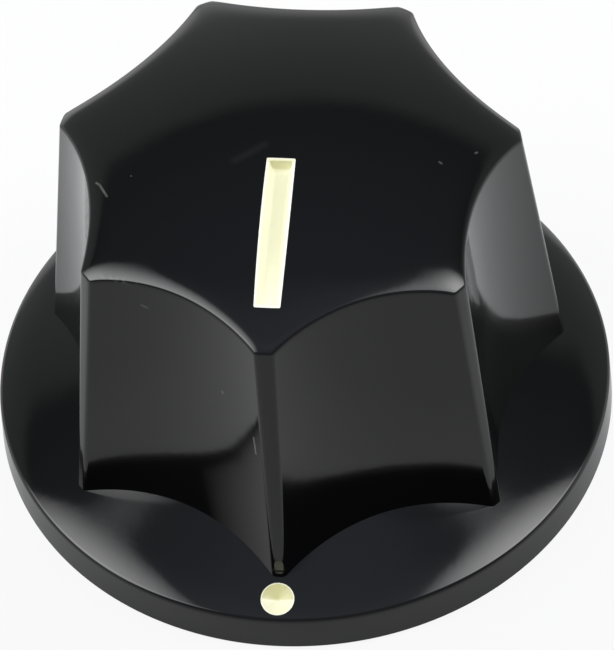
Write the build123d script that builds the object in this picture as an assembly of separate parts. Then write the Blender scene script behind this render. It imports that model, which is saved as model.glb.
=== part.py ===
"""Fluted, skirted control knob for a 1/4 inch potentiometer shaft.

A black thermoset moulding with a fluted, domed grip on a round skirt, moulded round a
knurled brass bushing.  A slotted grub screw in the rear flute clamps the shaft.  Cream
paint lines a pointer groove in the dome and a dot on the skirt in front of it.

Millimetres.  The origin is on the panel face, at the centre of the skirt.  +Z is up the
shaft axis, the pointer lies towards -Y and the grub screw towards +Y.
"""

from build123d import *
from math import asin, cos, pi, radians, sin, sqrt, tan
import os

# Skirt
skirt_dia = 19.05
rim_height = 1.35
rim_draft = 2.0
rim_round = 0.18
skirt_slope = 17.5
panel_edge_chamfer = 0.12

# Fluted grip
knob_height = 12.56
dome_rise = 1.21
grip_top_dia = 14.19
land_draft = 6.4
flute_count = 7
flute_radius = 7.85
flute_draft = 4.2
web_top_dia = 11.88
land_corner_round = 0.22
crown_round = 0.14

# Pointer groove in the dome
pointer_start = 0.66
pointer_end = 5.68
pointer_floor_width = 0.70
pointer_inner_depth = 0.50
pointer_outer_depth = 0.28
pointer_wall_draft = 9.0

# Dot drilled in the skirt
dot_dia = 1.10
dot_from_rim = 0.64
dot_point_angle = 118.0

# Paint left in the groove and the dot
line_paint = 0.08
dot_paint_dish = 0.12
dot_paint_lip = 0.03

# Recess under the skirt for the shaft nut
nut_recess_dia = 12.0
nut_recess_depth = 1.80

# Brass bushing
shaft_dia = 6.35
shaft_clearance = 0.025
bushing_wall = 1.50
bushing_cover = 2.36
bushing_mouth_chamfer = 0.35
knurl_teeth = 36
knurl_depth = 0.20
waist_depth = 0.32
waist_margin = 0.25

# Grub screw
screw_dia = 3.00
screw_sunk = 0.35
screw_clearance = 0.05
screw_height = 5.20
screw_shaft_gap = 0.05
screw_slot_width = 0.50
screw_slot_depth = 0.80
screw_point_chamfer = 0.40
screw_cup_depth = 0.35
screw_head_chamfer = 0.20


def ball_radius(edge_r, rise):
    """Radius of the ball whose cap has the given edge radius and rise."""
    return (edge_r**2 + rise**2) / (2 * rise)


def cap_middle(edge_r, rise):
    """Radius, and depth below the top, of the point half-way along a ball cap's arc."""
    ball_r = ball_radius(edge_r, rise)
    half_angle = asin(edge_r / ball_r) / 2
    return ball_r * sin(half_angle), ball_r * (1 - cos(half_angle))


# Worked out from the sizes above
skirt_r = skirt_dia / 2
rim_top_r = skirt_r - (rim_height - panel_edge_chamfer) * tan(radians(rim_draft))
land_top_r = grip_top_dia / 2
land_top_z = knob_height - dome_rise
dome_r = ball_radius(land_top_r, dome_rise)
dome_centre_z = knob_height - dome_r
bore_r = shaft_dia / 2 + shaft_clearance
bushing_r = bore_r + bushing_wall
bushing_bottom_z = nut_recess_depth
bushing_top_z = knob_height - bushing_cover
bushing_length = bushing_top_z - bushing_bottom_z
screw_r = screw_dia / 2
screw_hole_r = screw_r + screw_clearance
screw_tip_y = bore_r + screw_shaft_gap
dot_depth = dot_dia / 2 / tan(radians(dot_point_angle / 2))
waist_r = bushing_r - waist_depth
waist_bottom_z = screw_height - screw_hole_r - waist_margin
waist_top_z = screw_height + screw_hole_r + waist_margin


def land_r(z):
    """Radius of the lands between the flutes at height z."""
    return land_top_r + (land_top_z - z) * tan(radians(land_draft))


def dome_z(r):
    """Height of the dome at radius r."""
    return dome_centre_z + sqrt(dome_r**2 - r**2)


def skirt_z(r):
    """Height of the skirt's sloping top at radius r."""
    return rim_height + (rim_top_r - r) * tan(radians(skirt_slope))


def web_r(z):
    """Radius of the bottom of a flute at height z."""
    top_r = web_top_dia / 2
    return top_r + (dome_z(top_r) - z) * tan(radians(flute_draft))


def make_grip():
    """Domed cone with drafted flutes, its edges rounded as the mould leaves them."""
    base_z = nut_recess_depth / 2
    crown = Vector(0, 0, knob_height)
    land_top = Vector(land_top_r, 0, land_top_z)
    land_base = Vector(land_r(base_z), 0, base_z)
    mid_r, mid_drop = cap_middle(land_top_r, dome_rise)
    dome_mid = Vector(mid_r, 0, knob_height - mid_drop)
    outline = Polyline(crown, Vector(0, 0, base_z), land_base, land_top)
    outline += ThreePointArc(land_top, dome_mid, crown)
    blank = revolve(make_face(outline), Axis.Z)

    mid_z = (base_z + knob_height) / 2
    cutter_axis_r = web_r(mid_z) + flute_radius / cos(radians(flute_draft))
    cutter = Rot(0, -flute_draft, 0) * Cylinder(flute_radius, 2 * knob_height)
    cutters = [
        Rot(0, 0, 90 + i * 360 / flute_count) * Pos(cutter_axis_r, 0, mid_z) * cutter
        for i in range(flute_count)
    ]
    grip = blank - cutters

    corners = [edge for edge in grip.edges() if edge.bounding_box().size.Z > knob_height / 2]
    grip = fillet(corners, land_corner_round)
    crown_edges = [
        edge
        for edge in grip.edges()
        if edge.bounding_box().min.Z > land_top_z - crown_round
        and edge.bounding_box().max.Z < dome_z(web_top_dia / 4)
    ]
    return fillet(crown_edges, crown_round)


def make_skirt():
    """Round skirt with an upright rim, a rounded rim edge and a sloping top."""
    inner_r = web_r(rim_height) / 2
    outline = Polyline(
        (inner_r, 0),
        (skirt_r - panel_edge_chamfer, 0),
        (skirt_r, panel_edge_chamfer),
        (rim_top_r, rim_height),
        (inner_r, skirt_z(inner_r)),
        close=True,
    )
    profile = make_face(outline)
    rim_corner = profile.vertices().sort_by_distance((rim_top_r, rim_height, 0))[0]
    return revolve(Plane.XZ * fillet(rim_corner, rim_round), Axis.Z)


def pointer_pocket(coat):
    """Tapered space of the pointer groove, inside a coat of paint of the given thickness."""
    draft = radians(pointer_wall_draft)
    inner_r = pointer_start + pointer_inner_depth * tan(draft)
    outer_r = pointer_end - pointer_outer_depth * tan(draft)
    inner_floor = Vector(0, -inner_r, dome_z(inner_r) - pointer_inner_depth)
    outer_floor = Vector(0, -outer_r, dome_z(outer_r) - pointer_outer_depth)
    run = outer_floor - inner_floor
    wall_inset = coat * (1 - sin(draft)) / cos(draft)
    floor = Plane(
        origin=(inner_floor + outer_floor) * 0.5,
        x_dir=(1, 0, 0),
        z_dir=Vector(0, run.Z, -run.Y),
    ).offset(coat)
    sketch = floor * Rectangle(pointer_floor_width - 2 * wall_inset, run.length - 2 * wall_inset)
    return extrude(sketch, 4 * pointer_inner_depth, taper=-pointer_wall_draft)


def dome_ball():
    """Ball that the dome is part of."""
    return Pos(0, 0, dome_centre_z) * Sphere(dome_r)


def dot_frame():
    """Place of the dot on the skirt's slope, with Z square to the slope."""
    r = rim_top_r - dot_from_rim
    slope = radians(skirt_slope)
    return Plane(origin=(0, -r, skirt_z(r)), x_dir=(1, 0, 0), z_dir=(0, -sin(slope), cos(slope)))


def make_dot_recess():
    """Cone that the drill point leaves in the skirt, run out past its curved slope."""
    half_point = radians(dot_point_angle / 2)
    run_out = dot_dia / 4
    cone = Cone(
        0,
        dot_dia / 2 + run_out * tan(half_point),
        dot_depth + run_out,
        align=(Align.CENTER, Align.CENTER, Align.MIN),
    )
    return dot_frame() * Pos(0, 0, -dot_depth) * cone


def knurled_band(bottom_z, top_z):
    """Length of straight knurl, drawn as a ring of V-shaped teeth."""
    step = 2 * pi / knurl_teeth
    ring = []
    for i in range(knurl_teeth):
        ring.append((bushing_r * cos(i * step), bushing_r * sin(i * step)))
        root_r = bushing_r - knurl_depth
        ring.append((root_r * cos((i + 0.5) * step), root_r * sin((i + 0.5) * step)))
    return Pos(0, 0, bottom_z) * extrude(make_face(Polyline(*ring, close=True)), top_z - bottom_z)


def bushing_envelope():
    """Outside of the bushing: a plain waist that locks it, between two knurled bands."""
    waist = Pos(0, 0, bushing_bottom_z) * Cylinder(
        waist_r, bushing_length, align=(Align.CENTER, Align.CENTER, Align.MIN)
    )
    lower = knurled_band(bushing_bottom_z, waist_bottom_z)
    upper = knurled_band(waist_top_z, bushing_top_z)
    return waist + lower + upper


def cross_hole():
    """Tapped hole for the grub screw, from the shaft axis out through the rear flute."""
    return Pos(0, 0, screw_height) * Rot(-90, 0, 0) * Cylinder(
        screw_hole_r, skirt_r, align=(Align.CENTER, Align.CENTER, Align.MIN)
    )


def make_knob_body():
    """The moulding: grip and skirt in one piece, with its recesses and holes."""
    body = make_grip() + make_skirt()
    body -= Cylinder(
        nut_recess_dia / 2, nut_recess_depth, align=(Align.CENTER, Align.CENTER, Align.MIN)
    )
    body -= bushing_envelope()
    body -= cross_hole()
    body -= pointer_pocket(0)
    body -= make_dot_recess()
    return body


def make_brass_bushing():
    """Knurled brass tube, chamfered where the shaft goes in, with the tapped cross hole."""
    bore = Pos(0, 0, bushing_bottom_z) * Cylinder(
        bore_r, bushing_length, align=(Align.CENTER, Align.CENTER, Align.MIN)
    )
    mouth = Pos(0, 0, bushing_bottom_z) * Cone(
        bore_r + bushing_mouth_chamfer,
        bore_r,
        bushing_mouth_chamfer,
        align=(Align.CENTER, Align.CENTER, Align.MIN),
    )
    return bushing_envelope() - bore - mouth - cross_hole()


def make_set_screw():
    """Slotted grub screw with a cup point, backed off just clear of the bore."""
    point_r = screw_r - screw_point_chamfer
    cup_r = point_r - screw_cup_depth / 4
    head_r = screw_r - screw_head_chamfer
    screw_length = web_r(screw_height) - screw_sunk - screw_tip_y
    outline = Polyline(
        (0, screw_cup_depth),
        (cup_r, 0),
        (point_r, 0),
        (screw_r, screw_point_chamfer),
        (screw_r, screw_length - screw_head_chamfer),
        (head_r, screw_length),
        (0, screw_length),
        close=True,
    )
    screw = revolve(Plane.XZ * make_face(outline), Axis.Z)
    slot = Pos(0, 0, screw_length) * Box(screw_dia, screw_slot_width, 2 * screw_slot_depth)
    return Pos(0, screw_tip_y, screw_height) * Rot(-90, 0, 0) * (screw - slot)


def make_pointer_line():
    """Paint lining the groove's floor and walls, wiped level with the dome."""
    return (pointer_pocket(0) - pointer_pocket(line_paint)) & dome_ball()


def make_skirt_dot():
    """Paint pooled in the drilled dot, its face dished where it has dried."""
    rim_r = dot_dia / 2
    dish_r = rim_r - dot_paint_lip
    mid_r, mid_rise = cap_middle(dish_r, dot_paint_dish)
    dish_mid = (mid_r, mid_rise - dot_paint_dish)
    outline = Polyline((0, -dot_paint_dish), (0, -dot_depth), (rim_r, 0), (dish_r, 0))
    outline += ThreePointArc((dish_r, 0), dish_mid, (0, -dot_paint_dish))
    return dot_frame() * revolve(Plane.XZ * make_face(outline), Axis.Z)


parts = {
    "knob_body": make_knob_body(),
    "brass_bushing": make_brass_bushing(),
    "set_screw": make_set_screw(),
    "pointer_line": make_pointer_line(),
    "skirt_dot": make_skirt_dot(),
}

os.makedirs("parts", exist_ok=True)
for name, part in parts.items():
    export_step(part, f"parts/{name}.step")
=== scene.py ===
"""Looks of a black fluted control knob: a phenolic moulding on a knurled brass bushing,
with a cream pointer line and skirt dot, and a slotted set screw in its rear flute.

Metres, in the CAD frame: +Z up the shaft, the pointer towards -Y, the set screw towards +Y.
"""

from math import atan, ceil, cos, pi, radians, sin, sqrt, tan

import bpy
from mathutils import Matrix, Vector


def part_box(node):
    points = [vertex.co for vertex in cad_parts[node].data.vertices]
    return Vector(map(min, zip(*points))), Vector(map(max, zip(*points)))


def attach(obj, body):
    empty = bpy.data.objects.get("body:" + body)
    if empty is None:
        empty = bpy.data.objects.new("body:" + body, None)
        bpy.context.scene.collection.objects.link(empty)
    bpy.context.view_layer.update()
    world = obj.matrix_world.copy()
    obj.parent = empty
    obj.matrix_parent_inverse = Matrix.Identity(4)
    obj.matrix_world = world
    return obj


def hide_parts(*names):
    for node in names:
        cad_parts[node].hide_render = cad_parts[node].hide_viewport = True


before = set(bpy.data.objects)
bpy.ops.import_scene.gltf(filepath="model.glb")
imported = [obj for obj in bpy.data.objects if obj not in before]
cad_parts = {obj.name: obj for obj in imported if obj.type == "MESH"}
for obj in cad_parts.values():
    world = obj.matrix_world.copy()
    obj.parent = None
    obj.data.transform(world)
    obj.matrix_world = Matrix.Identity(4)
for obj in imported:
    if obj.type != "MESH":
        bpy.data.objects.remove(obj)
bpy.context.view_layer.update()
MM = 0.001


# The brass bushing
# A turned brass tube, bored for a 6.35 mm shaft.  Two knurled bands with a plain waist
# between them lock it in the moulding that is pressed round it, and a hole for the set
# screw is drilled and tapped across its side.
bushing_low, bushing_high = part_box("brass_bushing")
bushing_radius = bushing_high.x
bushing_bottom = bushing_low.z
bushing_top = bushing_high.z
bore_radius = 3.20 * MM
bushing_mouth_chamfer = 0.35 * MM
knurl_depth = 0.20 * MM
waist_depth = 0.32 * MM
waist_margin = 0.25 * MM
screw_height = 5.20 * MM
screw_hole_radius = 1.55 * MM
bushing_sizes = {"Tooth Count": 36}


class Amount:
    """A number that varies over a mesh, so that a node tree's sums read like plain ones."""

    def __init__(self, tree, socket):
        self.tree = tree
        self.socket = socket

    def sum(self, operation, *others):
        """This amount put through a Math node with the others."""
        node = self.tree.nodes.new("ShaderNodeMath")
        node.operation = operation
        for slot, value in zip(node.inputs, (self, *others)):
            if isinstance(value, Amount):
                self.tree.links.new(value.socket, slot)
            else:
                slot.default_value = value
        return Amount(self.tree, node.outputs[0])

    def __add__(self, other):
        return self.sum("ADD", other)

    def __sub__(self, other):
        return self.sum("SUBTRACT", other)

    def __rsub__(self, other):
        return self.sum("MULTIPLY_ADD", -1.0, other)

    def __mul__(self, other):
        return self.sum("MULTIPLY", other)

    def __truediv__(self, other):
        return self.sum("DIVIDE", other)

    def __rtruediv__(self, other):
        return self.sum("POWER", -1.0) * other

    def __neg__(self):
        return self.sum("MULTIPLY", -1.0)

    __radd__ = __add__
    __rmul__ = __mul__

    def clamp(self, low, high):
        """This amount, held between two limits."""
        return self.sum("MAXIMUM", low).sum("MINIMUM", high)

    def over(self, limit):
        """1 where this amount is over the limit, and 0 elsewhere."""
        return self.sum("GREATER_THAN", limit)


def pick(switch, low, high):
    """low where the switch is 0, and high where it is 1."""
    return low * (1 - switch) + high * switch


def dot(a, b):
    """Dot product of two triples of amounts."""
    return a[0] * b[0] + a[1] * b[1] + a[2] * b[2]


def along(start, way, distance):
    """The point a distance from the start along a way, each given by its three parts."""
    return tuple(s + w * distance for s, w in zip(start, way))


def eased(share):
    """Share of a length whose steps get ever shorter, so that shading turns only at its end."""
    return share * (2 - share)


def sized_tree(name, sizes):
    """A Geometry Nodes tree with a named input for each size, and those inputs as amounts."""
    tree = bpy.data.node_groups.new(name, "GeometryNodeTree")
    tree.interface.new_socket("Geometry", in_out="INPUT", socket_type="NodeSocketGeometry")
    tree.interface.new_socket("Geometry", in_out="OUTPUT", socket_type="NodeSocketGeometry")
    for size, value in sizes.items():
        kind = "NodeSocketInt" if isinstance(value, int) else "NodeSocketFloat"
        tree.interface.new_socket(size, in_out="INPUT", socket_type=kind)
    group_in = tree.nodes.new("NodeGroupInput")
    size = {name: Amount(tree, group_in.outputs[name]) for name in sizes}
    return tree, group_in.outputs["Geometry"], size


def grid_place(tree):
    """Place across and down a grid, before it is moved."""
    position = tree.nodes.new("GeometryNodeInputPosition")
    split = tree.nodes.new("ShaderNodeSeparateXYZ")
    tree.links.new(position.outputs[0], split.inputs[0])
    return Amount(tree, split.outputs["X"]), Amount(tree, split.outputs["Y"])


def band(tree, columns, rows, place):
    """A grid of columns and rows, moved to where place puts it."""
    grid = tree.nodes.new("GeometryNodeMeshGrid")
    grid.inputs["Size X"].default_value = columns
    grid.inputs["Size Y"].default_value = rows
    grid.inputs["Vertices X"].default_value = columns + 1
    grid.inputs["Vertices Y"].default_value = rows + 1
    point = tree.nodes.new("ShaderNodeCombineXYZ")
    for slot, amount in zip(point.inputs, place):
        tree.links.new(amount.socket, slot)
    move = tree.nodes.new("GeometryNodeSetPosition")
    tree.links.new(grid.outputs["Mesh"], move.inputs["Geometry"])
    tree.links.new(point.outputs["Vector"], move.inputs["Position"])
    return move.outputs["Geometry"]


def outline_point(tree, outline, row):
    """Radius, knurl depth and height of the outline's point with that row's number."""
    position = tree.nodes.new("GeometryNodeInputPosition")
    sample = tree.nodes.new("GeometryNodeSampleIndex")
    sample.data_type = "FLOAT_VECTOR"
    split = tree.nodes.new("ShaderNodeSeparateXYZ")
    tree.links.new(outline, sample.inputs["Geometry"])
    tree.links.new(position.outputs[0], sample.inputs["Value"])
    tree.links.new((row + 0.5).socket, sample.inputs["Index"])
    tree.links.new(sample.outputs["Value"], split.inputs[0])
    return [Amount(tree, split.outputs[part]) for part in "XYZ"]


def repeat_round(tree, bands, count, first_angle):
    """The bands of one sector, repeated a counted number of times round the shaft."""
    join = tree.nodes.new("GeometryNodeJoinGeometry")
    for geometry in bands:
        tree.links.new(geometry, join.inputs[0])
    points = tree.nodes.new("GeometryNodeMeshLine")
    points.inputs["Offset"].default_value = (0, 0, 0)
    tree.links.new(count.socket, points.inputs["Count"])
    number = Amount(tree, tree.nodes.new("GeometryNodeInputIndex").outputs[0])
    turn = tree.nodes.new("ShaderNodeCombineXYZ")
    tree.links.new((number / count * 2 * pi + first_angle).socket, turn.inputs["Z"])
    copies = tree.nodes.new("GeometryNodeInstanceOnPoints")
    tree.links.new(points.outputs["Mesh"], copies.inputs["Points"])
    tree.links.new(join.outputs[0], copies.inputs["Instance"])
    tree.links.new(turn.outputs["Vector"], copies.inputs["Rotation"])
    return copies.outputs["Instances"]


def close_tree(tree, geometry, weld, material):
    """Ends a tree in Realize Instances and Set Material, its seams welded in between."""
    realize = tree.nodes.new("GeometryNodeRealizeInstances")
    merge = tree.nodes.new("GeometryNodeMergeByDistance")
    merge.inputs["Distance"].default_value = weld
    paint = tree.nodes.new("GeometryNodeSetMaterial")
    paint.inputs["Material"].default_value = material
    group_out = tree.nodes.new("NodeGroupOutput")
    tree.links.new(geometry, realize.inputs["Geometry"])
    tree.links.new(realize.outputs["Geometry"], merge.inputs["Geometry"])
    tree.links.new(merge.outputs["Geometry"], paint.inputs["Geometry"])
    tree.links.new(paint.outputs["Geometry"], group_out.inputs["Geometry"])


def plain_object(name, mesh):
    """A new object at the origin that shows the mesh."""
    piece = bpy.data.objects.new(name, mesh)
    bpy.context.scene.collection.objects.link(piece)
    return piece


def mesh_from(name, points, faces=(), edges=()):
    """A mesh of the points, with faces or edges between them."""
    mesh = bpy.data.meshes.new(name)
    mesh.from_pydata([tuple(point) for point in points], list(edges), list(faces))
    mesh.update()
    return mesh


def outline_mesh(name, points):
    """The points of an outline, joined in their order."""
    return mesh_from(name, points, edges=[(i, i + 1) for i in range(len(points) - 1)])


def settle(piece):
    """Works the piece's modifiers into a plain mesh of its own."""
    bpy.context.view_layer.update()
    depsgraph = bpy.context.evaluated_depsgraph_get()
    mesh = bpy.data.meshes.new_from_object(piece.evaluated_get(depsgraph))
    mesh.name = piece.name
    if mesh.materials[0] is None:
        mesh.materials.pop(index=0)
    piece.modifiers.clear()
    piece.data = mesh


def grow(name, outline, tree, sizes):
    """A piece with the plain mesh that a tree makes of an outline and the sizes."""
    piece = plain_object(name, outline)
    shape = piece.modifiers.new("shape", "NODES")
    shape.node_group = tree
    for item in tree.interface.items_tree:
        if item.name in sizes:
            shape[item.identifier] = sizes[item.name]
    settle(piece)
    return piece


def ring_solid(name, rings):
    """A closed solid through rings of points, each turning anticlockwise about the way on."""
    count = len(rings[0])
    faces = [tuple(reversed(range(count)))]
    for ring in range(len(rings) - 1):
        for i in range(count):
            this, after = ring * count + i, ring * count + (i + 1) % count
            faces.append((this, after, after + count, this + count))
    faces.append(tuple(range((len(rings) - 1) * count, len(rings) * count)))
    return plain_object(name, mesh_from(name, [point for ring in rings for point in ring], faces))


def circle(centre, radius, side, up, count=96):
    """Points of a circle round its centre, starting at its side and turning towards up."""
    angles = [2 * pi * i / count for i in range(count)]
    return [centre + radius * (cos(angle) * side + sin(angle) * up) for angle in angles]


def cut(piece, cutters):
    """Takes each cutter's space out of the piece, and the cutter out of the scene."""
    for cutter in cutters:
        cutter.data.materials.append(piece.data.materials[0])
        boolean = piece.modifiers.new("cut", "BOOLEAN")
        boolean.operation = "DIFFERENCE"
        boolean.solver = "MANIFOLD"
        boolean.object = cutter
    settle(piece)
    for cutter in cutters:
        bpy.data.objects.remove(cutter)


def shade(piece, sharp_angle=radians(30)):
    """Shades a piece smooth, with the edges sharper than the angle left crisp."""
    piece.data.shade_smooth()
    piece.data.set_sharp_from_angle(angle=sharp_angle)


def node_material(name, colour, roughness):
    """A new material, its tree and its main shader, with a plain colour and roughness."""
    material = bpy.data.materials.new(name)
    material.use_nodes = True
    shader = material.node_tree.nodes["Principled BSDF"]
    shader.inputs["Base Color"].default_value = (*colour, 1)
    shader.inputs["Roughness"].default_value = roughness
    return material, material.node_tree, shader


def place_in_mm(tree):
    """Place on the piece, in millimetres, as a socket and as three amounts."""
    coordinates = tree.nodes.new("ShaderNodeTexCoord")
    scale = tree.nodes.new("ShaderNodeVectorMath")
    scale.operation = "SCALE"
    scale.inputs["Scale"].default_value = 1 / MM
    tree.links.new(coordinates.outputs["Object"], scale.inputs[0])
    split = tree.nodes.new("ShaderNodeSeparateXYZ")
    tree.links.new(scale.outputs["Vector"], split.inputs[0])
    return scale.outputs["Vector"], [Amount(tree, split.outputs[part]) for part in "XYZ"]


def noise(tree, place, scale, detail=2.0, roughness=0.5):
    """Noise from 0 to 1 that varies scale times a millimetre."""
    texture = tree.nodes.new("ShaderNodeTexNoise")
    texture.inputs["Scale"].default_value = scale
    texture.inputs["Detail"].default_value = detail
    texture.inputs["Roughness"].default_value = roughness
    tree.links.new(place, texture.inputs["Vector"])
    return Amount(tree, texture.outputs["Fac"])


def colour_mix(tree, share, low, high):
    """Socket of a colour that runs from low to high with a share."""
    mix = tree.nodes.new("ShaderNodeMix")
    mix.data_type = "RGBA"
    tree.links.new(share.clamp(0, 1).socket, mix.inputs[0])
    for slot, colour in ((mix.inputs[6], low), (mix.inputs[7], high)):
        if isinstance(colour, tuple):
            slot.default_value = (*colour, 1)
        else:
            tree.links.new(colour, slot)
    return mix.outputs[2]


def roughen(tree, shader, relief, height):
    """Bumps a shader's surface by a relief, which stands so high where it is 1."""
    bump = tree.nodes.new("ShaderNodeBump")
    bump.inputs["Distance"].default_value = height
    tree.links.new(relief.socket, bump.inputs["Height"])
    tree.links.new(bump.outputs["Normal"], shader.inputs["Normal"])


def bushing_outline():
    """Half-section of the bushing: radius, knurl depth and height of each corner."""
    waist_radius = bushing_radius - waist_depth
    waist_bottom = screw_height - screw_hole_radius - waist_margin
    waist_top = screw_height + screw_hole_radius + waist_margin
    corners = [
        (bore_radius, 0, bushing_top),
        (bushing_radius, knurl_depth, bushing_top),
        (bushing_radius, knurl_depth, waist_top),
        (waist_radius, 0, waist_top),
        (waist_radius, 0, waist_bottom),
        (bushing_radius, knurl_depth, waist_bottom),
        (bushing_radius, knurl_depth, bushing_bottom),
        (bore_radius + bushing_mouth_chamfer, 0, bushing_bottom),
        (bore_radius, 0, bushing_bottom + bushing_mouth_chamfer),
        (bore_radius, 0, bushing_top),
    ]
    return [Vector(corner) for corner in corners]


def bushing_tree(material, outline_rows):
    """The wedge of bushing behind one knurl tooth, repeated round the bore."""
    tree, outline, size = sized_tree("knurled bushing", bushing_sizes)
    across, down = grid_place(tree)
    columns = 4
    radius, knurl, height = outline_point(tree, outline, down + outline_rows / 2)
    radius = radius - knurl * across.sum("ABSOLUTE") * 2 / columns
    angle = -across / columns * 2 * pi / size["Tooth Count"]
    place = (radius * angle.sum("COSINE"), radius * angle.sum("SINE"), height)
    wedge = band(tree, columns, outline_rows, place)
    tube = repeat_round(tree, [wedge], size["Tooth Count"], 0.0)
    close_tree(tree, tube, 0.001 * MM, material)
    return tree


def cross_hole(name, reach):
    """The set screw's hole, from the shaft axis out towards +Y."""
    ends = (Vector((0, 0, screw_height)), Vector((0, reach, screw_height)))
    side, up = Vector((0, 0, 1)), Vector((1, 0, 0))
    return ring_solid(name, [circle(end, screw_hole_radius, side, up) for end in ends])


brass, brass_tree, brass_shader = node_material("turned brass", (0.72, 0.53, 0.25), 0.3)
brass_shader.inputs["Metallic"].default_value = 1
brass_place, (brass_x, brass_y, brass_z) = place_in_mm(brass_tree)
tool_marks = ((brass_x * brass_x + brass_y * brass_y).sum("SQRT") + brass_z) * (2 * pi / 0.055)
tool_marks = tool_marks.sum("SINE") * 0.5 + noise(brass_tree, brass_place, 9.0, detail=4) * 0.6
roughen(brass_tree, brass_shader, tool_marks, 0.0012 * MM)
tarnish = (noise(brass_tree, brass_place, 1.1, detail=5) - 0.42) * 3.2
brass_tree.links.new(
    colour_mix(brass_tree, tarnish, (0.76, 0.57, 0.28), (0.42, 0.28, 0.12)),
    brass_shader.inputs["Base Color"],
)
brass_tree.links.new((tarnish.clamp(0, 1) * 0.2 + 0.24).socket, brass_shader.inputs["Roughness"])

outline = bushing_outline()
bushing = grow(
    "knurled_bushing",
    outline_mesh("bushing outline", outline),
    bushing_tree(brass, len(outline) - 1),
    bushing_sizes,
)
cut(bushing, [cross_hole("bushing cross hole", bushing_radius + 1 * MM)])
shade(bushing)
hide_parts("brass_bushing")
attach(bushing, "knob")


# The black moulding
# One piece of glossy black phenolic, pressed hot in a steel mould round the bushing.  Its
# seven hollow flutes run down a domed grip to a round skirt, and polishing has worn down
# the edges of the dome and of the skirt.
knob_low, knob_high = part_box("knob_body")
skirt_radius = min(knob_high.x, -knob_low.x)
knob_height = knob_high.z
rim_height = 1.35 * MM
rim_draft = radians(2.0)
rim_round = 0.18 * MM
skirt_slope = radians(16.0)
skirt_shoulder_width = 1.15 * MM
skirt_shoulder_lean = tan(radians(11.0))
skirt_shoulder_power = 2.6
skirt_shoulder_drop = skirt_shoulder_lean * skirt_shoulder_width / skirt_shoulder_power
panel_edge_chamfer = 0.12 * MM
rim_top_radius = skirt_radius - (rim_height - panel_edge_chamfer) * tan(rim_draft)
nut_recess_radius = 6.0 * MM
nut_recess_depth = 1.80 * MM
dome_rise = 1.21 * MM
land_top_radius = 7.095 * MM
web_top_radius = 5.94 * MM
flute_radius = 7.85 * MM
flute_draft = radians(4.2)
land_draft = radians(6.4)
land_corner_round = 0.22 * MM
crown_round = 0.14 * MM
dome_shoulder_width = 1.20 * MM
dome_shoulder_lean = tan(radians(18.0))
dome_shoulder_blend = 0.50 * MM
dome_shoulder_power = 4.8
dome_shoulder_drop = dome_shoulder_lean * dome_shoulder_width / dome_shoulder_power
ball_rise = dome_rise - dome_shoulder_drop
dome_radius = (land_top_radius**2 + ball_rise**2) / (2 * ball_rise)
dome_centre = knob_height - dome_radius
web_top_height = dome_centre + sqrt(dome_radius**2 - web_top_radius**2) - dome_shoulder_drop
bushing_proud = 0.01 * MM
pointer_start = 0.66 * MM
pointer_end = 5.74 * MM
pointer_floor_width = 0.70 * MM
pointer_inner_depth = 0.50 * MM
pointer_outer_depth = 0.28 * MM
pointer_wall_draft = tan(radians(9.0))
pointer_corner = 0.05 * MM
dot_radius = 0.51 * MM
dot_from_rim = 0.64 * MM
dot_point_slope = tan(radians(90 - 118 / 2))


class SharedSum:
    """A node group of sums over some sizes, for a sum that a tree needs many times."""

    def __init__(self, name, sizes, arguments, results, formula):
        self.group = bpy.data.node_groups.new(name, "GeometryNodeTree")
        self.sizes = sizes
        self.arguments = arguments
        for item in sizes + arguments:
            self.group.interface.new_socket(item, in_out="INPUT", socket_type="NodeSocketFloat")
        for item in results:
            self.group.interface.new_socket(item, in_out="OUTPUT", socket_type="NodeSocketFloat")
        group_in = self.group.nodes.new("NodeGroupInput")
        group_out = self.group.nodes.new("NodeGroupOutput")
        given = {item: Amount(self.group, group_in.outputs[item]) for item in sizes + arguments}
        for item, result in zip(results, formula(given, *(given[item] for item in arguments))):
            self.group.links.new(result.socket, group_out.inputs[item])

    def __call__(self, size, *arguments):
        """The results for the sizes and arguments of the tree that they are in."""
        tree = arguments[0].tree
        node = tree.nodes.new("GeometryNodeGroup")
        node.node_tree = self.group
        given = [size[item] for item in self.sizes] + list(arguments)
        for item, amount in zip(self.sizes + self.arguments, given):
            tree.links.new(amount.socket, node.inputs[item])
        return [Amount(tree, socket) for socket in node.outputs]


def moulding_outline(round_steps, tight):
    """Half-section from the start of the rim's round, under the skirt, to the shaft axis."""
    slope = atan(tan(skirt_slope) + skirt_shoulder_lean)
    turn = pi / 2 - rim_draft - slope
    corner = Vector((rim_top_radius, 0, rim_height))
    up_slope = Vector((-cos(slope), 0, sin(slope)))
    start = corner + rim_round * tan(turn / 2) * up_slope
    centre = start - rim_round * Vector((sin(slope), 0, cos(slope)))
    points = []
    for step in range(round_steps + 1):
        angle = pi / 2 - slope - turn * step / round_steps
        points.append(centre + rim_round * Vector((cos(angle), 0, sin(angle))))
    points[0].z, _ = skirt_surface(points[0].x)
    points.append(points[-1] + tight * Vector((sin(rim_draft), 0, -cos(rim_draft))))
    ceiling = nut_recess_depth + bushing_proud
    socket_radius = bushing_radius - knurl_depth
    points += [
        Vector((skirt_radius, 0, panel_edge_chamfer)),
        Vector((skirt_radius - panel_edge_chamfer, 0, 0)),
        Vector((nut_recess_radius, 0, 0)),
        Vector((nut_recess_radius, 0, ceiling)),
        Vector((socket_radius, 0, ceiling)),
        Vector((socket_radius, 0, bushing_top)),
        Vector((0, 0, bushing_top)),
    ]
    return points


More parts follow.
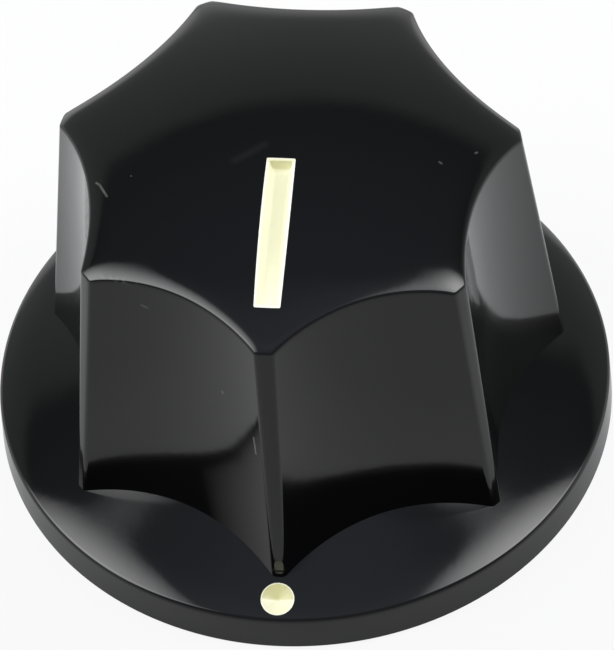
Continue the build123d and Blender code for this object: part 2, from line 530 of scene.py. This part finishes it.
knob_sizes = {
    "Flute Count": 7,
    "Flute Radius": flute_radius,
    "Flute Draft": flute_draft,
    "Web Top Radius": web_top_radius,
    "Web Top Height": web_top_height,
    "Land Top Radius": land_top_radius,
    "Land Top Height": knob_height - dome_rise,
    "Land Draft": land_draft,
    "Land Corner Round": land_corner_round,
    "Crown Round": crown_round,
    "Dome Radius": dome_radius,
    "Knob Height": knob_height,
    "Rim Top Radius": rim_top_radius,
    "Rim Height": rim_height,
    "Skirt Slope": skirt_slope,
    "Dome Shoulder Width": dome_shoulder_width,
    "Dome Shoulder Drop": dome_shoulder_drop,
    "Dome Shoulder Power": dome_shoulder_power,
    "Dome Shoulder Blend": dome_shoulder_blend,
    "Skirt Shoulder Width": skirt_shoulder_width,
    "Skirt Shoulder Drop": skirt_shoulder_drop,
    "Skirt Shoulder Power": skirt_shoulder_power,
}


def distance(x, y):
    """Distance of a place from the shaft axis."""
    return (x * x + y * y).sum("SQRT")


def wall_plan(size, z, flute_share, corner_share, land_share, off_flute, on_land):
    """Plan of the grip's wall at height z, and the way that it faces there."""
    land_r = size["Land Top Radius"]
    land_r = land_r + (size["Land Top Height"] - z) * size["Land Draft"].sum("TANGENT")
    web_r = size["Web Top Radius"]
    web_r = web_r + (size["Web Top Height"] - z) * size["Flute Draft"].sum("TANGENT")
    cutter_r = web_r + size["Flute Radius"]
    corner_r = land_r - size["Land Corner Round"]
    reach = size["Flute Radius"] + size["Land Corner Round"]
    squares = corner_r * corner_r + cutter_r * cutter_r - reach * reach
    land_angle = (squares / (corner_r * cutter_r * 2)).sum("ARCCOSINE")
    corner_x = corner_r * land_angle.sum("COSINE")
    corner_y = corner_r * land_angle.sum("SINE")
    flute_angle = (corner_y / reach).sum("ARCSINE")
    facing = (flute_angle + land_angle) * corner_share - flute_angle * flute_share
    facing = facing + (pi / size["Flute Count"] - land_angle) * land_share
    middle_x = pick(off_flute, cutter_r, corner_x * (1 - on_land))
    middle_y = corner_y * (off_flute - on_land)
    out = pick(off_flute, -size["Flute Radius"], pick(on_land, size["Land Corner Round"], land_r))
    face_x, face_y = facing.sum("COSINE"), facing.sum("SINE")
    return middle_x + out * face_x, middle_y + out * face_y, face_x, face_y


def worn_down(size, place, inside):
    """How far a place's shoulder has come down, at a distance inside its edge."""
    share = (1 - inside / size[place + " Shoulder Width"]).sum("MAXIMUM", 0)
    return share.sum("POWER", size[place + " Shoulder Power"]) * size[place + " Shoulder Drop"]


def dome_surface(size, x, y):
    """Height of the dome, worn down by its distance from the nearest flute or land."""
    reach = size["Web Top Radius"] + size["Flute Radius"]
    turn = 2 * pi / size["Flute Count"]
    next_x, next_y = reach * turn.sum("COSINE"), reach * turn.sum("SINE")
    this_flute = distance(x - reach, y) - size["Flute Radius"]
    next_flute = distance(x - next_x, y - next_y) - size["Flute Radius"]
    land = size["Land Top Radius"] - distance(x, y)
    blend = size["Dome Shoulder Blend"]
    inside = this_flute.sum("SMOOTH_MIN", next_flute, blend).sum("SMOOTH_MIN", land, blend)
    ball = (size["Dome Radius"] * size["Dome Radius"] - x * x - y * y).sum("SQRT")
    ball_top = size["Knob Height"] - size["Dome Radius"] + ball
    return [ball_top - worn_down(size, "Dome", inside)]


def skirt_top(size, radius):
    """Height of the skirt's top at a radius, worn down towards its rim."""
    inside = size["Rim Top Radius"] - radius
    rise = inside * size["Skirt Slope"].sum("TANGENT") + size["Skirt Shoulder Drop"]
    return [size["Rim Height"] + rise - worn_down(size, "Skirt", inside)]


def moulding_tree(material, outline_rows, rim_start_radius):
    """One flute's sector from the crown to the shaft axis, repeated round the shaft."""
    tree, outline, size = sized_tree("fluted knob", knob_sizes)
    wall_sizes = [
        "Land Top Radius", "Land Top Height", "Land Draft", "Web Top Radius", "Web Top Height",
        "Flute Draft", "Flute Radius", "Flute Count", "Land Corner Round",
    ]
    wall_shares = ["Flute Share", "Corner Share", "Land Share", "Off Flute", "On Land"]
    wall_results = ["X", "Y", "Face X", "Face Y"]
    plan = SharedSum("wall plan", wall_sizes, ["Z"] + wall_shares, wall_results, wall_plan)
    dome_sizes = [
        "Web Top Radius", "Flute Radius", "Flute Count", "Land Top Radius", "Dome Radius",
        "Knob Height", "Dome Shoulder Width", "Dome Shoulder Drop", "Dome Shoulder Power",
        "Dome Shoulder Blend",
    ]
    dome = SharedSum("dome surface", dome_sizes, ["X", "Y"], ["Z"], dome_surface)
    skirt_sizes = [
        "Rim Top Radius", "Rim Height", "Skirt Slope", "Skirt Shoulder Width",
        "Skirt Shoulder Drop", "Skirt Shoulder Power",
    ]
    skirt = SharedSum("skirt top", skirt_sizes, ["Radius"], ["Z"], skirt_top)

    across, down = grid_place(tree)
    flute_steps, corner_steps, land_steps = 30, 8, 3
    corner_end = flute_steps + corner_steps
    columns = 2 * (corner_end + land_steps)
    step = across.sum("ABSOLUTE")
    side = -across.sum("SIGN")
    flute_share = eased((step / flute_steps).clamp(0, 1))
    corner_share = ((step - flute_steps) / corner_steps).clamp(0, 1)
    land_share = ((step - corner_end) / land_steps).clamp(0, 1).sum("POWER", 2.0)
    off_flute = step.over(flute_steps + 0.5)
    on_land = step.over(corner_end + 0.5)
    shares = (flute_share, corner_share, land_share, off_flute, on_land)

    edge_z, foot_z = size["Land Top Height"], size["Rim Height"]
    for _ in range(3):
        edge_x, edge_y, face_x, face_y = plan(size, edge_z, *shares)
        [edge_z] = dome(size, edge_x, edge_y)
        foot_x, foot_y, _, _ = plan(size, foot_z, *shares)
        foot_r = distance(foot_x, foot_y)
        [foot_z] = skirt(size, foot_r)

    # A ball that touches the wall and the dome rolls out the round between them
    ball_r = size["Crown Round"]
    lean = pick(on_land, size["Flute Draft"], size["Land Draft"])
    wall_way = (face_x * lean.sum("COSINE"), face_y * lean.sum("COSINE"), lean.sum("SINE"))
    near_x, near_y = edge_x - face_x * ball_r, edge_y - face_y * ball_r
    nudge = 0.02 * MM
    for _ in range(2):
        [left], [right] = dome(size, near_x - nudge, near_y), dome(size, near_x + nudge, near_y)
        [near], [far] = dome(size, near_x, near_y - nudge), dome(size, near_x, near_y + nudge)
        fall_x, fall_y = left - right, near - far
        steepness = (fall_x * fall_x + fall_y * fall_y + 4 * nudge * nudge).sum("SQRT")
        dome_way = (fall_x / steepness, fall_y / steepness, 2 * nudge / steepness)
        cosine = dot(wall_way, dome_way)
        turn = cosine.sum("ARCCOSINE")
        sine = turn.sum("SINE")
        [near_z] = dome(size, near_x, near_y)
        edge_over = dot((edge_x - near_x, edge_y - near_y, edge_z - near_z), dome_way)
        from_dome = (ball_r * (cosine - 1) - edge_over) / (sine * sine)
        from_wall = -ball_r - from_dome * cosine
        ball = along(along((edge_x, edge_y, edge_z), wall_way, from_wall), dome_way, from_dome)
        dome_edge = along(ball, dome_way, ball_r)
        near_x, near_y, _ = dome_edge
    wall_top = along(ball, wall_way, ball_r)

    def mirrored(x, y, z):
        """The place on its own side of the flute's middle."""
        return x, y * side, z

    dome_rows, crown_rows, wall_rows, skirt_rows = 26, 7, 10, 14
    outward = eased((down + dome_rows / 2) / dome_rows)
    dome_x, dome_y = dome_edge[0] * outward, dome_edge[1] * outward
    on_dome = mirrored(dome_x, dome_y, *dome(size, dome_x, dome_y))

    share = down / crown_rows + 0.5
    spread = ball_r / sine
    on_crown = along(ball, dome_way, (turn * (1 - share)).sum("SINE") * spread)
    on_crown = mirrored(*along(on_crown, wall_way, (turn * share).sum("SINE") * spread))

    upward = eased(0.5 - down / wall_rows)
    foot = (foot_x, foot_y, foot_z)
    on_wall = mirrored(*(pick(upward, low, high) for low, high in zip(foot, wall_top)))

    outward = eased(down / skirt_rows + 0.5)
    skirt_r = pick(outward, foot_r, rim_start_radius)
    way_x, way_y = foot_x / foot_r, foot_y / foot_r
    on_skirt = mirrored(way_x * skirt_r, way_y * skirt_r, *skirt(size, skirt_r))

    lathe_r, _, lathe_z = outline_point(tree, outline, down + outline_rows / 2)
    on_lathe = mirrored(way_x * lathe_r, way_y * lathe_r, lathe_z)

    bands = [
        band(tree, columns, dome_rows, on_dome),
        band(tree, columns, crown_rows, on_crown),
        band(tree, columns, wall_rows, on_wall),
        band(tree, columns, skirt_rows, on_skirt),
        band(tree, columns, outline_rows, on_lathe),
    ]
    knob = repeat_round(tree, bands, size["Flute Count"], pi / 2)
    close_tree(tree, knob, 0.0012 * MM, material)
    return tree


def dome_height(y):
    """Height of the dome's ball above the pointer line, at a place along Y."""
    return dome_centre + sqrt(dome_radius**2 - y**2)


def groove_ring(level, lift=0.0, inset=0.0):
    """Round the groove at a level, from 0 on its lifted floor to 1 on the dome."""
    inner_y = -pointer_start - pointer_inner_depth * pointer_wall_draft
    outer_y = -pointer_end + pointer_outer_depth * pointer_wall_draft
    inner_z = dome_height(inner_y) - pointer_inner_depth
    outer_z = dome_height(outer_y) - pointer_outer_depth
    corner_steps, side_steps = 4, 16
    corner = pointer_corner + inset / 2

    def height(y):
        """Height of the groove's floor, and of the ring's level above it."""
        floor_z = inner_z + (outer_z - inner_z) * (y - inner_y) / (outer_y - inner_y)
        return floor_z, lift + level * (dome_height(y) - floor_z - lift)

    ends = []
    for end_y, way in ((outer_y, -1), (inner_y, 1)):
        _, rise = height(end_y)
        ends.append(end_y + way * (rise * pointer_wall_draft - inset - corner))
    plan = []
    for end_y, way in zip(ends, (-1, 1)):
        for step in range(2 * corner_steps + 1):
            angle = way * pi / 2 + (step / corner_steps - 1) * pi / 2
            plan.append((end_y + corner * sin(angle), cos(angle), corner))
        far_y = ends[0] + ends[1] - end_y
        for step in range(1, side_steps):
            y = end_y + (far_y - end_y) * step / side_steps
            plan.append((y, -way, corner))
    points = []
    for y, across, corner in plan:
        floor_z, rise = height(y)
        middle = pointer_floor_width / 2 + rise * pointer_wall_draft - inset - corner
        side = 1 if across > 1e-9 else -1 if across < -1e-9 else 0
        points.append(Vector((side * middle + across * corner, y, floor_z + rise)))
    return points


def skirt_surface(radius):
    """Height and slope of the skirt's top at a radius."""
    inside = rim_top_radius - radius
    share = max(0, 1 - inside / skirt_shoulder_width)
    fall = skirt_shoulder_drop * (1 - share**skirt_shoulder_power)
    slope = tan(skirt_slope) + skirt_shoulder_lean * share ** (skirt_shoulder_power - 1)
    return rim_height + inside * tan(skirt_slope) + fall, atan(slope)


dot_from_axis = rim_top_radius - dot_from_rim
dot_height, dot_tilt = skirt_surface(dot_from_axis)
dot_middle = Vector((0, -dot_from_axis, dot_height))
dot_side = Vector((1, 0, 0))
dot_up = Vector((0, cos(dot_tilt), sin(dot_tilt)))
dot_out = Vector((0, -sin(dot_tilt), cos(dot_tilt)))


def dot_ring(radius, height):
    """A circle round the dot's middle, at a height above the skirt."""
    return circle(dot_middle + height * dot_out, radius, dot_side, dot_up)


drill_lift = 0.25 * MM
drill_tip = 0.02 * MM
drilled_dot = [
    dot_ring(drill_tip, (drill_tip - dot_radius) * dot_point_slope),
    dot_ring(dot_radius + drill_lift / dot_point_slope, drill_lift),
]


def stroke(tree, place, start, end, half_width):
    """Share of a thin mark between two places in millimetres, fading out at its half width."""
    start, end = Vector(start), Vector(end)
    along_mark = end - start
    offset, reach, nearest, gap = [tree.nodes.new("ShaderNodeVectorMath") for _ in range(4)]
    offset.operation = "SUBTRACT"
    offset.inputs[1].default_value = start
    tree.links.new(place, offset.inputs[0])
    reach.operation = "DOT_PRODUCT"
    reach.inputs[1].default_value = along_mark / along_mark.length_squared
    tree.links.new(offset.outputs["Vector"], reach.inputs[0])
    nearest.operation = "SCALE"
    nearest.inputs[0].default_value = along_mark
    tree.links.new(Amount(tree, reach.outputs["Value"]).clamp(0, 1).socket, nearest.inputs["Scale"])
    gap.operation = "DISTANCE"
    tree.links.new(offset.outputs["Vector"], gap.inputs[0])
    tree.links.new(nearest.outputs["Vector"], gap.inputs[1])
    return (1 - Amount(tree, gap.outputs["Value"]) / half_width).clamp(0, 1)


def dust(tree, place, spacing, size, kept):
    """Share of dust specks, one at most in each patch, and in only some of the patches."""
    patches = tree.nodes.new("ShaderNodeTexVoronoi")
    patches.inputs["Scale"].default_value = 1 / spacing
    tree.links.new(place, patches.inputs["Vector"])
    split = tree.nodes.new("ShaderNodeSeparateXYZ")
    tree.links.new(patches.outputs["Color"], split.inputs[0])
    chance, bulk = Amount(tree, split.outputs["X"]), Amount(tree, split.outputs["Y"])
    near = bulk * size - Amount(tree, patches.outputs["Distance"]) * spacing
    soft_edge = size / 6
    chance_edge = 0.005
    return (near / soft_edge).clamp(0, 1) * ((kept - chance) / chance_edge).clamp(0, 1)


phenolic_black = (0.0012, 0.0012, 0.0015)
# Grey of dust and scratches, and of the painted highlight on the rubbed corner
dust_and_highlight_grey = (0.55, 0.55, 0.52)
polish = 0.08
phenolic, phenolic_tree, phenolic_shader = node_material("black phenolic", phenolic_black, polish)
phenolic_shader.inputs["IOR"].default_value = 1.5
phenolic_place, _ = place_in_mm(phenolic_tree)

# Half width and strength of each scratch or speck that the photo shows, and its places
marks = [
    (0.05, 0.15, [
        (-5.51, -1.26, 11.82), (-5.40, -1.36, 11.86), (-5.30, -1.53, 11.88), (-5.13, -1.82, 11.91),
    ]),
    (0.05, 0.24, [(-0.515, -7.21, 7.47), (-0.48, -7.317, 6.82)]),
    (0.20, 0.009, [(-1.39, -0.78, 12.505), (-1.05, -0.55, 12.53), (-0.55, -0.16, 12.55)]),
    (0.05, 0.10, [(4.64, -0.22, 12.085), (4.70, -0.26, 12.075)]),
    (0.05, 0.12, [(5.66, 0.37, 11.845), (5.70, 0.41, 11.835)]),
    (0.07, 0.08, [(-3.84, -4.93, 10.72), (-3.68, -5.01, 10.68)]),
    (0.06, 0.14, [(-1.47, -6.28, 8.44), (-1.47, -6.31, 8.38)]),
]
# A rubbed strip along the dome's front-left edge: rougher from wear, and greyer as a painted
# highlight where that edge is lit
worn_and_highlit_corner = [
    (-5.10, -4.45, 11.46), (-4.93, -4.53, 11.50), (-4.44, -4.70, 11.55), (-4.00, -4.80, 11.60),
]
worn_and_highlit_half_width = 0.14
worn_and_highlit_strength = 0.06
marked = dust(phenolic_tree, phenolic_place, spacing=0.9, size=0.05, kept=0.05) * 0.08
for half_width, strength, places in marks:
    for start, end in zip(places, places[1:]):
        mark = stroke(phenolic_tree, phenolic_place, start, end, half_width)
        marked = marked.sum("MAXIMUM", mark * strength)
marked = marked * (noise(phenolic_tree, phenolic_place, 5.0, detail=3) + 0.5)
chips = ((noise(phenolic_tree, phenolic_place, 7.0, detail=3) - 0.5) * 9).clamp(0, 1)
# The rubbed strip is rougher, and its grey is partly a painted highlight
for start, end in zip(worn_and_highlit_corner, worn_and_highlit_corner[1:]):
    rubbed_and_highlit = stroke(phenolic_tree, phenolic_place, start, end, worn_and_highlit_half_width) * chips
    marked = marked.sum("MAXIMUM", rubbed_and_highlit * worn_and_highlit_strength)
handled = (noise(phenolic_tree, phenolic_place, 0.28, detail=5) - 0.45) * 0.12
phenolic_tree.links.new(
    colour_mix(phenolic_tree, marked, phenolic_black, dust_and_highlight_grey),
    phenolic_shader.inputs["Base Color"],
)
dulled = (handled + marked * 0.6 + polish).clamp(0.05, 0.7)
phenolic_tree.links.new(dulled.socket, phenolic_shader.inputs["Roughness"])
waves = noise(phenolic_tree, phenolic_place, 0.35, detail=1)
waves = waves + noise(phenolic_tree, phenolic_place, 2.2, detail=2) * 0.12
roughen(phenolic_tree, phenolic_shader, waves, 0.008 * MM)

outline = moulding_outline(round_steps=8, tight=0.01 * MM)
knob = grow(
    "knob_moulding",
    outline_mesh("moulding outline", outline),
    moulding_tree(phenolic, len(outline) - 1, outline[0].x),
    knob_sizes,
)
cut(knob, [
    cross_hole("moulding cross hole", skirt_radius),
    ring_solid("pointer groove", [groove_ring(0), groove_ring(1), groove_ring(1.5)]),
    ring_solid("drilled dot", drilled_dot),
])
shade(knob)
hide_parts("knob_body")
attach(knob, "knob")


# The set screw
# A slotted steel grub screw with an M3 thread, a cup point and its bright turned finish
# dulled by oil.  It clamps the shaft through the tapped hole in the bushing.
screw_low, screw_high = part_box("set_screw")
screw_tip = screw_low.y
screw_length = screw_high.y - screw_low.y
slot_half_width = 0.25 * MM
slot_depth = 0.80 * MM
cup_radius = 1.01 * MM
cup_depth = 0.35 * MM
screw_sizes = {
    "Screw Radius": 1.49 * MM,
    "Screw Length": screw_length,
    "Screw Height": screw_height,
    "Screw Tip": screw_tip,
    "Thread Pitch": 0.50 * MM,
    "Thread Depth": 0.27 * MM,
    "Point Chamfer": 0.40 * MM,
    "Head Chamfer": 0.20 * MM,
}


def screw_tree(material):
    """A bar whose rows climb with its thread, closed at both ends."""
    tree, _, size = sized_tree("threaded screw", screw_sizes)
    across, down = grid_place(tree)
    columns, rows_per_pitch = 64, 8
    thread_rows = ceil((screw_length / screw_sizes["Thread Pitch"] + 1) * rows_per_pitch)
    rows = thread_rows + 2
    turn = across / columns
    row = down + (rows / 2 - 1)
    along_screw = (row / rows_per_pitch + turn - 0.5) * size["Thread Pitch"]
    along_screw = along_screw.sum("MAXIMUM", 0.0).sum("MINIMUM", size["Screw Length"])
    phase = (along_screw / size["Thread Pitch"] - turn).sum("FRACT")
    groove = ((phase * 2 - 1).sum("ABSOLUTE") * -1.35 + 1.2).clamp(0, 1)
    radius = size["Screw Radius"] - groove * size["Thread Depth"]
    from_head = size["Screw Length"] - along_screw
    radius = radius.sum("MINIMUM", size["Screw Radius"] - size["Point Chamfer"] + along_screw)
    radius = radius.sum("MINIMUM", size["Screw Radius"] - size["Head Chamfer"] + from_head)
    inside_rows = row.over(-0.5) * (thread_rows + 0.5 - row).over(0)
    radius = radius * inside_rows
    angle = turn * 2 * pi
    place = (
        radius * angle.sum("COSINE"),
        size["Screw Tip"] + along_screw,
        size["Screw Height"] - radius * angle.sum("SINE"),
    )
    close_tree(tree, band(tree, columns, rows, place), 0.001 * MM, material)
    return tree


steel, steel_tree, steel_shader = node_material("turned steel", (0.50, 0.50, 0.50), 0.3)
steel_shader.inputs["Metallic"].default_value = 1
steel_place, (_, steel_y, _) = place_in_mm(steel_tree)
steel_marks = (steel_y * (2 * pi / 0.04)).sum("SINE") * 0.3
steel_marks = steel_marks + noise(steel_tree, steel_place, 14.0, detail=4)
roughen(steel_tree, steel_shader, steel_marks, 0.001 * MM)
oil = (noise(steel_tree, steel_place, 1.6, detail=4) - 0.4) * 3
steel_tree.links.new(
    colour_mix(steel_tree, oil, (0.56, 0.56, 0.57), (0.24, 0.22, 0.20)),
    steel_shader.inputs["Base Color"],
)
steel_tree.links.new((oil.clamp(0, 1) * 0.16 + 0.26).socket, steel_shader.inputs["Roughness"])

screw = grow("grub_screw", outline_mesh("screw axis", []), screw_tree(steel), screw_sizes)
screw_end = screw_tip + screw_length
slot_reach = 2 * screw_hole_radius
slot_corners = [(-1, -1), (1, -1), (1, 1), (-1, 1)]
slot = ring_solid("slot", [
    [Vector((-x * slot_reach, y, screw_height + z * slot_half_width)) for x, z in slot_corners]
    for y in (screw_end - slot_depth, screw_end + slot_depth)
])
cup = ring_solid("cup", [
    circle(Vector((0, y, screw_height)), radius, Vector((0, 0, 1)), Vector((1, 0, 0)))
    for y, radius in ((screw_tip - 0.01 * MM, cup_radius), (screw_tip + cup_depth, 0.02 * MM))
])
cut(screw, [slot, cup])
shade(screw)
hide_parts("set_screw")
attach(screw, "set_screw")


# The pointer line
# Cream enamel flowed into the groove and wiped level with the dome.  It has dried in a skin
# that lines the walls and pools a little in the corners of the floor.
line_coat = 0.08 * MM
line_lip = 0.03 * MM
# Whiter cream of the painted highlight on the enamel's lip, and olive of its painted shade
lip_highlight_white = (0.88, 0.88, 0.82)
painted_shade_olive = (0.56, 0.54, 0.27)


def painted(name, base, painted_shade_share):
    """Cream enamel, whitened on its lip by a painted highlight and olive where painted shade falls.
    """
    material, tree, shader = node_material(name, base, 0.4)
    place, amounts = place_in_mm(tree)
    lip = tree.nodes.new("ShaderNodeAttribute")
    lip.attribute_name = "lip"
    patches = noise(tree, place, 3.0, detail=3) * 0.5
    body = colour_mix(tree, patches, base, tuple(part * 0.95 for part in base))
    # Painted shade turns the enamel olive, and a painted highlight whitens its lip
    shaded_body = colour_mix(tree, painted_shade_share(*amounts), body, painted_shade_olive)
    whitened = colour_mix(tree, Amount(tree, lip.outputs["Fac"]) * 0.5, shaded_body, lip_highlight_white)
    tree.links.new(whitened, shader.inputs["Base Color"])
    relief = noise(tree, place, 7.0, detail=3)
    roughen(tree, shader, relief, 0.01 * MM)
    return material


def mark_lip(piece, ring_length, lip_rings):
    """Writes on each point whether it is in one of the rings that form the paint's lip."""
    lip = piece.data.attributes.new("lip", "FLOAT", "POINT")
    for i, value in enumerate(lip.data):
        value.value = 1.0 if i // ring_length in lip_rings else 0.0


def painted_shade_on_end(x, y, z):
    """Share of painted shade on the wall at the groove's inner end, which faces outwards."""
    wall_foot = (pointer_start + pointer_inner_depth * pointer_wall_draft + line_coat) / MM
    return ((y + wall_foot) * 40).clamp(0, 1) * 0.7


line_rings = [
    groove_ring(0),
    groove_ring(1),
    groove_ring(1, line_coat, line_lip),
    groove_ring(0.94, line_coat, line_coat),
    groove_ring(0.45, line_coat, line_coat),
    groove_ring(0.16, line_coat, line_coat * 1.15),
    groove_ring(0.04, line_coat, line_coat * 1.7),
    groove_ring(0, line_coat, line_coat * 2.5),
]
pointer_paint = ring_solid("pointer_paint", line_rings)
mark_lip(pointer_paint, len(line_rings[0]), (1, 2))
# Painted shade darkens the enamel on the wall at the groove's inner end
pointer_paint.data.materials.append(painted("cream line paint", (0.92, 0.91, 0.69), painted_shade_on_end))
shade(pointer_paint, radians(50))
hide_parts("pointer_line")
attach(pointer_paint, "knob")


# The skirt dot
# A drop of the same enamel in a hole made by the point of a drill.  It has shrunk to a dish
# as it dried.  A painted highlight whitens its lip, and painted shade darkens the side
# towards the grip.
dot_lip = 0.03 * MM
dot_dish = 0.22 * MM
dot_depth = dot_radius * dot_point_slope
dish_steps = 12


def painted_shade_above(x, y, z):
    """Share of painted shade on the upper half of the dish, towards the grip."""
    above = (y - dot_middle.y / MM) * dot_up.y + (z - dot_middle.z / MM) * dot_up.z
    return (above * 14 + 0.3).clamp(0, 1)


dot_rings = [
    dot_ring(drill_tip, drill_tip * dot_point_slope - dot_depth),
    dot_ring(dot_radius, 0),
    dot_ring(dot_radius - dot_lip, 0),
]
for step in range(1, dish_steps):
    angle = pi / 2 * step / dish_steps
    share = cos(angle)
    dot_rings.append(dot_ring((dot_radius - dot_lip) * share, -dot_dish * (1 - share) ** 0.9))
dot_paint = ring_solid("dot_paint", dot_rings)
mark_lip(dot_paint, len(dot_rings[0]), (1, 2))
# Painted shade darkens the dish's upper half, and a painted highlight whitens its lip
# A darker cream than the line's, so that less of the dot clips to white
dot_paint.data.materials.append(painted("cream dot paint", (0.80, 0.79, 0.57), painted_shade_above))
shade(dot_paint, radians(50))
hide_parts("skirt_dot")
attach(dot_paint, "knob")


# The studio
# Paper greyed towards the camera by painted shade, in front of a pale wall and under a dim ceiling.
# A large soft box stands on the left and a smaller one on the right, and a strip of wall is
# lit behind each.
floor_reach = 0.8
# Start and length of the painted shade on the paper, in millimetres along Y
grade_start = 12.0
grade_length = 13.0
camera_share = 0.9
mirrored_share = 0.2
floor_corners = [(-1, -1), (1, -1), (1, 1), (-1, 1)]
floor_points = [(x * floor_reach, y * floor_reach, 0) for x, y in floor_corners]
floor = plain_object("floor", mesh_from("floor", floor_points, faces=[(0, 1, 2, 3)]))
floor_paint, floor_tree, floor_shader = node_material("paper with painted shade", (0.5, 0.5, 0.5), 0.6)
floor_shader.inputs["Specular IOR Level"].default_value = 0.2
_, (_, floor_y, _) = place_in_mm(floor_tree)
# Painted shade: the paper's colour greys towards the camera, as a shadow would
painted_shade_grading = (floor_y + grade_start) / grade_length
floor_tree.links.new(
    colour_mix(floor_tree, painted_shade_grading, (0.34, 0.34, 0.34), (0.68, 0.68, 0.68)),
    floor_shader.inputs["Base Color"],
)
light_path = floor_tree.nodes.new("ShaderNodeLightPath")
glow = floor_tree.nodes.new("ShaderNodeEmission")
floor_mix = floor_tree.nodes.new("ShaderNodeMixShader")
mirrored_ray = Amount(floor_tree, light_path.outputs["Is Glossy Ray"]).sum(
    "MAXIMUM", Amount(floor_tree, light_path.outputs["Is Transmission Ray"])
)
camera_ray = Amount(floor_tree, light_path.outputs["Is Camera Ray"])
seen_white = camera_ray * camera_share + mirrored_ray * mirrored_share
floor_tree.links.new(seen_white.socket, floor_mix.inputs["Fac"])
floor_tree.links.new(floor_shader.outputs["BSDF"], floor_mix.inputs[1])
floor_tree.links.new(glow.outputs["Emission"], floor_mix.inputs[2])
floor_out = floor_tree.nodes["Material Output"]
floor_tree.links.new(floor_mix.outputs["Shader"], floor_out.inputs["Surface"])
floor.data.materials.append(floor_paint)


def soft_box(name, azimuth, elevation, spread, rise, radiance, distance=0.6):
    """A soft box seen from the knob at an azimuth and elevation, spreading over two angles."""
    lamp = bpy.data.lights.new(name, "AREA")
    lamp.shape = "RECTANGLE"
    lamp.size = 2 * distance * tan(radians(spread) / 2)
    lamp.size_y = 2 * distance * tan(radians(rise) / 2)
    lamp.energy = radiance * pi * lamp.size * lamp.size_y
    lamp.use_nodes = True
    tree = lamp.node_tree
    sheet = tree.nodes.new("ShaderNodeNewGeometry")
    split = tree.nodes.new("ShaderNodeSeparateXYZ")
    tree.links.new(sheet.outputs["Parametric"], split.inputs[0])
    strength = 1
    for part in "XY":
        share = Amount(tree, split.outputs[part])
        strength = (share * (1 - share) * 4).sum("POWER", 0.8) * strength
    tree.links.new(strength.socket, tree.nodes["Emission"].inputs["Strength"])
    box = plain_object(name, lamp)
    a, e = radians(azimuth), radians(elevation)
    way = Vector((sin(a) * cos(e), -cos(a) * cos(e), sin(e)))
    box.location = way * distance
    box.rotation_euler = way.to_track_quat("Z", "Y").to_euler()
    return box


soft_box("left soft box", azimuth=-76, elevation=42, spread=46, rise=54, radiance=6.8)
soft_box("right soft box", azimuth=92, elevation=50, spread=36, rise=47, radiance=7.5)
soft_box("left wall light", azimuth=-140, elevation=8, spread=40, rise=22, radiance=1.2)
soft_box("right wall light", azimuth=157, elevation=8, spread=22, rise=22, radiance=1.6)

world = bpy.data.worlds.new("studio")
bpy.context.scene.world = world
world.use_nodes = True
sky = world.node_tree
direction = sky.nodes.new("ShaderNodeTexCoord")
split = sky.nodes.new("ShaderNodeSeparateXYZ")
sky.links.new(direction.outputs["Generated"], split.inputs[0])


def room_side(colour_by_elevation):
    """Colour of one side of the room, from its floor to its ceiling."""
    ramp = sky.nodes.new("ShaderNodeValToRGB")
    sky.links.new(split.outputs["Z"], ramp.inputs["Fac"])
    while len(ramp.color_ramp.elements) < len(colour_by_elevation):
        ramp.color_ramp.elements.new(0.5)
    for stop, (elevation, colour) in zip(ramp.color_ramp.elements, colour_by_elevation.items()):
        stop.position = sin(radians(elevation))
        stop.color = (*colour, 1)
    return ramp.outputs["Color"]


behind = room_side({
    0: (1.0, 1.0, 1.0),
    12: (0.90, 0.92, 0.90),
    20: (0.53, 0.55, 0.54),
    30: (0.42, 0.44, 0.43),
    40: (0.34, 0.35, 0.34),
    43: (0.125, 0.135, 0.135),
    60: (0.205, 0.22, 0.25),
    75: (0.245, 0.265, 0.305),
    90: (0.40, 0.45, 0.52),
})
in_front = room_side({
    0: (1.0, 1.0, 1.0),
    5: (0.22, 0.22, 0.22),
    60: (0.30, 0.32, 0.36),
    75: (0.50, 0.55, 0.62),
    90: (0.40, 0.45, 0.52),
})
sides = sky.nodes.new("ShaderNodeMix")
sides.data_type = "RGBA"
facing_back = (Amount(sky, split.outputs["Y"]) * 2 + 0.5).clamp(0, 1)
sky.links.new(facing_back.socket, sides.inputs[0])
sky.links.new(in_front, sides.inputs[6])
sky.links.new(behind, sides.inputs[7])
sky.links.new(sides.outputs[2], sky.nodes["Background"].inputs["Color"])


# The camera
# It looks down at the knob's front from a little to the right, as the photo does.
camera_azimuth = radians(9.08)
camera_elevation = radians(51.56)
camera_roll = radians(-5.04)
camera_distance = 192.61 * MM
camera_aside = 0.013 * MM
camera_above = 2.321 * MM
photo_height = 650
focal_pixels = 6171.2

back = Vector((
    sin(camera_azimuth) * cos(camera_elevation),
    -cos(camera_azimuth) * cos(camera_elevation),
    sin(camera_elevation),
))
level = Vector((cos(camera_azimuth), sin(camera_azimuth), 0))
upward = back.cross(level)
right = cos(camera_roll) * level + sin(camera_roll) * upward
up = -sin(camera_roll) * level + cos(camera_roll) * upward
camera_data = bpy.data.cameras.new("camera")
camera_data.sensor_width = 36
camera_data.lens = focal_pixels * camera_data.sensor_width / photo_height
camera_data.clip_start = 0.01
camera_data.clip_end = 10
camera = plain_object("camera", camera_data)
camera.matrix_world = Matrix((right, up, back)).transposed().to_4x4()
camera.location = back * camera_distance + right * camera_aside + up * camera_above
bpy.context.scene.camera = camera
bpy.context.scene.view_settings.view_transform = "Standard"
